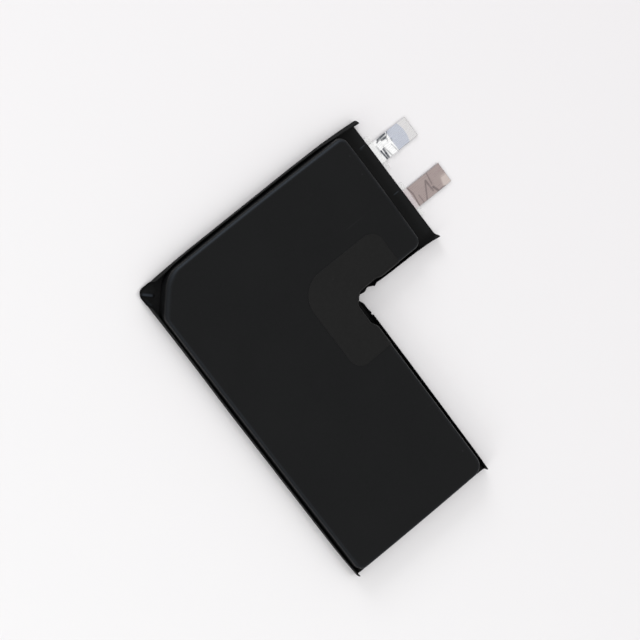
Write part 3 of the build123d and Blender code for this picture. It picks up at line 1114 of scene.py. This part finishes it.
def handling_marks():
    """Specks of dust and hair scratches."""
    tree, given, result = effect("handling_marks", [("Dust", 0.5), ("Scratches", 0.5)],
                                 ["Dust", "Scratches"])
    place = add(tree, "ShaderNodeTexCoord").outputs["Object"]
    cells = add(tree, "ShaderNodeTexVoronoi", {"Vector": place, "Scale": 260.0})
    size = between_values(tree, cells.outputs["Distance"], 0.0, 0.05, 1.0, 0.0)
    chance = add(tree, "ShaderNodeSeparateColor", {0: cells.outputs["Color"]}).outputs[0]
    speck = calc(tree, "MULTIPLY", size, calc(tree, "GREATER_THAN", chance, 0.82))
    lines = between_values(tree, noise(tree, 30.0, 2.0, (1, 90, 1), 0.5), 0.735, 0.76)
    broken = between_values(tree, noise(tree, 120.0, 1.0), 0.5, 0.6)
    mark = calc(tree, "MULTIPLY", lines, broken)
    feed(tree, result, dust=calc(tree, "MULTIPLY", speck, given["Dust"]),
         scratches=calc(tree, "MULTIPLY", mark, given["Scratches"]))
    return tree


def edge_wear():
    """Broken line of wear along a cut edge, from the rim stored on the mesh."""
    tree, given, result = effect("edge_wear", [("Amount", 0.5)], ["Wear"])
    ragged = between_values(tree, noise(tree, 900.0, 3.0), 0.35, 0.65, 0.3, 1.0)
    wear_or_highlight = calc(tree, "MULTIPLY", stored(tree, "rim"), ragged)
    feed(tree, result, wear=calc(tree, "MULTIPLY", wear_or_highlight, given["Amount"]))
    return tree


def rolling_marks():
    """Fine lines that rolling leaves along a metal strip."""
    tree, given, result = effect("rolling_marks", [("Fineness", 1.0)], ["Height", "Streak"])
    scale = calc(tree, "MULTIPLY", given["Fineness"], 250.0)
    lines = noise(tree, scale, 3.0, (1, 24, 1))
    feed(tree, result, height=lines, streak=between_values(tree, lines, 0.35, 0.65))
    return tree


def use(tree, group, **values):
    """Places an effect in a material."""
    placed_group = add(tree, "ShaderNodeGroup", node_tree=group)
    for name, value in values.items():
        placed_group.inputs[name.replace("_", " ").title()].default_value = value
    return placed_group.outputs


def blend(tree, share, first, second):
    """Colour from first to second by a share."""
    mixed = add(tree, "ShaderNodeMix", {0: share}, data_type="RGBA")
    for socket, colour in ((mixed.inputs[6], first), (mixed.inputs[7], second)):
        if isinstance(colour, bpy.types.NodeSocket):
            tree.links.new(colour, socket)
        else:
            socket.default_value = (*colour, 1)
    return mixed.outputs[2]


def stored(tree, name):
    """Value stored on the mesh for each point."""
    return add(tree, "ShaderNodeAttribute", attribute_name=name).outputs["Fac"]


def bump(tree, shader, height, depth):
    """Relief from a height, of a depth in millimetres."""
    relief = add(tree, "ShaderNodeBump", {"Height": height, "Distance": depth * MM, "Strength": 1.0})
    tree.links.new(relief.outputs[0], shader.inputs["Normal"])


def material(name):
    """New material with its tree and its shader."""
    made = bpy.data.materials.new(name)
    made.use_nodes = True
    return made, made.node_tree, made.node_tree.nodes["Principled BSDF"]


def marked_over(tree, marked, colour, tone):
    """Colour with dust and scratches of a tone over it."""
    return blend(tree, calc(tree, "MAXIMUM", marked["Dust"], marked["Scratches"]), colour, tone)


def pouch_film(grain, marks, wear):
    """Black laminated film: satin over the cup, matt where it was heat sealed, and with highlights painted
    along the cup's upper edge, the pleat at the cut corner and the pads' sharp edges."""
    made, tree, shader = material("pouch_film")
    grains = use(tree, grain, grain_scale=7000.0, cloud_scale=90.0)
    marked = use(tree, marks, dust=0.5, scratches=0.1)
    wear_or_highlight = use(tree, wear, amount=0.5)
    pressed = stored(tree, "pressed")
    colour = blend(tree, grains["Cloud"], (0.0039, 0.0042, 0.0045), (0.0051, 0.0054, 0.0057))
    colour = blend(tree, pressed, colour, (0.005, 0.0051, 0.0049))
    colour = blend(tree, calc(tree, "MULTIPLY", grains["Speckle"], 0.3), colour, (0.008, 0.008, 0.009))
    colour = marked_over(tree, marked, colour, (0.05, 0.05, 0.055))
    colour = blend(tree, wear_or_highlight["Wear"], colour, (0.001, 0.001, 0.001))
    # painted highlight: a pale bluish tone on the cup's upper edge, the pleat and the pads' edges
    colour = blend(tree, stored(tree, "creased"), colour, (0.02, 0.024, 0.03))
    rough = between_values(tree, grains["Cloud"], 0, 1, 0.34, 0.4)
    rough = calc(tree, "ADD", rough, calc(tree, "MULTIPLY", pressed, 0.35))
    feed(tree, shader.inputs, base_color=colour, roughness=rough)
    shader.inputs["Specular IOR Level"].default_value = film_gloss
    bump(tree, shader, grains["Height"], 0.004)
    return made


def patch_film(grain, marks, wear):
    """Matt black adhesive film."""
    made, tree, shader = material("patch_film")
    grains = use(tree, grain, grain_scale=4500.0, cloud_scale=140.0)
    marked = use(tree, marks, dust=0.5, scratches=0.2)
    wear_or_highlight = use(tree, wear, amount=0.25)
    colour = blend(tree, grains["Cloud"], (0.0074, 0.0074, 0.0073), (0.0088, 0.0088, 0.0087))
    colour = blend(tree, calc(tree, "MULTIPLY", grains["Speckle"], 0.3), colour, (0.013, 0.013, 0.013))
    colour = marked_over(tree, marked, colour, (0.06, 0.06, 0.06))
    colour = blend(tree, wear_or_highlight["Wear"], colour, (0.02, 0.02, 0.02))
    feed(tree, shader.inputs, base_color=colour,
         roughness=between_values(tree, grains["Cloud"], 0, 1, 0.5, 0.56))
    shader.inputs["Specular IOR Level"].default_value = film_gloss
    bump(tree, shader, grains["Height"], 0.006)
    return made


def strip_metal(name, colours, roughness, rolled, marks, wear):
    """Rolled metal strip: bright, with dark reflections and shade painted along its creases, and another
    tone at each end: painted highlights, and on the nickel's start its tone under the sealing film.
    """
    made, tree, shader = material(name)
    plain, streaked, painted_dark_tone, end_tone, start_tone = colours
    lines = use(tree, rolled, fineness=1.0)
    marked = use(tree, marks, dust=0.2, scratches=0.6)
    wear_or_highlight = use(tree, wear, amount=0.5)
    colour = blend(tree, lines["Streak"], plain, streaked)
    # the start: a painted highlight on the aluminium, the nickel's tone under the sealing film; both
    # metals are made less metallic there
    colour = blend(tree, stored(tree, "near_end"), colour, start_tone)
    # painted highlight at the far end
    colour = blend(tree, stored(tree, "far_end"), colour, end_tone)
    ragged = noise(tree, 1500.0, 3.0)
    # painted dark reflections and shade in the creases
    painted_dark = calc(tree, "MULTIPLY", stored(tree, "painted_dark"), between_values(tree, ragged, 0.3, 0.6, 0.7, 1.0))
    colour = blend(tree, painted_dark, colour, painted_dark_tone)
    bright = calc(tree, "MAXIMUM", marked["Scratches"], wear_or_highlight["Wear"])
    feed(tree, shader.inputs, base_color=blend(tree, bright, colour, (0.9, 0.9, 0.9)),
         roughness=between_values(tree, lines["Streak"], 0, 1, roughness, roughness + 0.08),
         metallic=between_values(tree, stored(tree, "near_end"), 0, 1, 1, 0.3))
    bump(tree, shader, lines["Height"], 0.003)
    return made


def sealing_film(grain, marks):
    """Translucent white film."""
    made, tree, shader = material("sealing_film")
    grains = use(tree, grain, grain_scale=3000.0, cloud_scale=500.0)
    marked = use(tree, marks, dust=0.2, scratches=0.3)
    colour = blend(tree, grains["Cloud"], (0.9, 0.9, 0.9), (0.95, 0.95, 0.94))
    colour = blend(tree, marked["Scratches"], colour, (0.6, 0.6, 0.6))
    feed(tree, shader.inputs, base_color=colour,
         roughness=between_values(tree, grains["Cloud"], 0, 1, 0.3, 0.42),
         alpha=between_values(tree, grains["Cloud"], 0, 1, 0.3, 0.4))
    bump(tree, shader, grains["Height"], 0.004)
    return made


# ---- room


def floor():
    """Pale floor under the cell, with painted light: lighter towards one side and darker towards the
    other.
    """
    mesh = bpy.data.meshes.new("floor")
    corners = [(x * floor_reach, y * floor_reach, 0) for x, y in ((-1, -1), (1, -1), (1, 1), (-1, 1))]
    mesh.from_pydata(corners, [], [(0, 1, 2, 3)])
    made = stand("floor", mesh)
    paint, tree, shader = material("floor_paint")
    place = add(tree, "ShaderNodeTexCoord").outputs["Object"]
    across = add(tree, "ShaderNodeVectorMath", {0: place, 1: FLOOR_PAINTED_LIGHT_WAY}, operation="DOT_PRODUCT")
    # painted light: the floor is lighter towards one side and darker towards the other
    tone = between_values(tree, across.outputs["Value"], -0.1, 0.1)
    feed(tree, shader.inputs, base_color=blend(tree, tone, *FLOOR_PAINTED_LIGHT_TONES))
    shader.inputs["Roughness"].default_value = 0.8
    mesh.materials.append(paint)


def lamp(name, place, size, power, colour, reflected):
    """Square soft lamp that faces the cell: it either lights things or is only seen in them."""
    light = bpy.data.lights.new(name, "AREA")
    light.shape = "SQUARE"
    light.color = colour
    light.size = size
    light.energy = power
    made = stand(name, light)
    made.location = place
    made.visible_glossy = reflected
    made.visible_diffuse = not reflected
    made.rotation_euler = (-Vector(place)).to_track_quat("-Z", "Y").to_euler()


def world():
    """Pale surroundings: even for the light that falls on the object, and darker towards the horizon in
    what it reflects."""
    made = bpy.data.worlds.new("room")
    made.use_nodes = True
    tree = made.node_tree
    way = add(tree, "ShaderNodeTexCoord").outputs["Generated"]
    up = add(tree, "ShaderNodeSeparateXYZ", {0: way}).outputs[2]
    seen = between_values(tree, up, 0.1, 0.8, horizon_light, overhead_light)
    glossy = add(tree, "ShaderNodeLightPath").outputs["Is Glossy Ray"]
    strength = add(tree, "ShaderNodeMix", {0: glossy, 2: even_light, 3: seen}).outputs[0]
    back = tree.nodes["Background"]
    back.inputs["Color"].default_value = (1, 1, 1, 1)
    tree.links.new(strength, back.inputs["Strength"])
    bpy.context.scene.world = made


def camera():
    """Camera at the photo's angle."""
    data = bpy.data.cameras.new("camera")
    data.lens = camera_lens
    data.sensor_width = 36
    data.clip_start, data.clip_end = 0.01, 10
    made = stand("camera", data)
    turned = (Matrix.Rotation(-camera_turn, 4, "Z") @ Matrix.Rotation(-camera_tilt_y, 4, "Y")
              @ Matrix.Rotation(-camera_tilt_x, 4, "X"))
    aim = Vector(placed(camera_aim))
    made.matrix_world = Matrix.Translation(aim + turned @ Vector((0, 0, camera_distance * MM))) @ turned
    bpy.context.scene.camera = made


def join(pieces, name):
    """Joins pieces into one mesh under a new name."""
    with bpy.context.temp_override(active_object=pieces[0], selected_editable_objects=pieces):
        bpy.ops.object.join()
    pieces[0].name = name
    pieces[0].data.name = name
    return pieces[0]


def main():
    grain, marks, wear, rolled = film_grain(), handling_marks(), edge_wear(), rolling_marks()
    film = pouch_film(grain, marks, wear)
    cup = cup_object()
    cup.data.materials.append(film)
    pouch = join([cup, seal_object(film)], "film_pouch")
    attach(pouch, "root")
    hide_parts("pouch")
    patch = patch_object(patch_film(grain, marks, wear))
    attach(patch, "root")
    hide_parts("corner_patch")
    aluminium = strip_metal("aluminium_strip", ALUMINIUM_COLOURS, 0.22, rolled, marks, wear)
    nickel = strip_metal("nickel_strip", NICKEL_COLOURS, 0.26, rolled, marks, wear)
    clear = sealing_film(grain, marks)
    for name, metal, slot, creases, painted_dark_lines in (
            ("positive_tab", aluminium, "aluminium_strip", ALUMINIUM_CREASES, ALUMINIUM_PAINTED_DARK),
            ("negative_tab", nickel, "nickel_strip", NICKEL_CREASES, NICKEL_PAINTED_DARK)):
        tab = tab_object(name, creases, painted_dark_lines, aluminium_zones if metal == aluminium else nickel_zones)
        tab.data.materials.append(metal)
        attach(tab, "root")
        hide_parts(name)
        sleeve = film_object(name + "_film")
        sleeve.data.materials.append(clear)
        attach(sleeve, "root")
        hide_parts(name + "_film")
    floor()
    world()
    for name, settings in LAMPS.items():
        lamp(name, *settings)
    camera()
    bpy.context.scene.view_settings.view_transform = "Standard"


main()
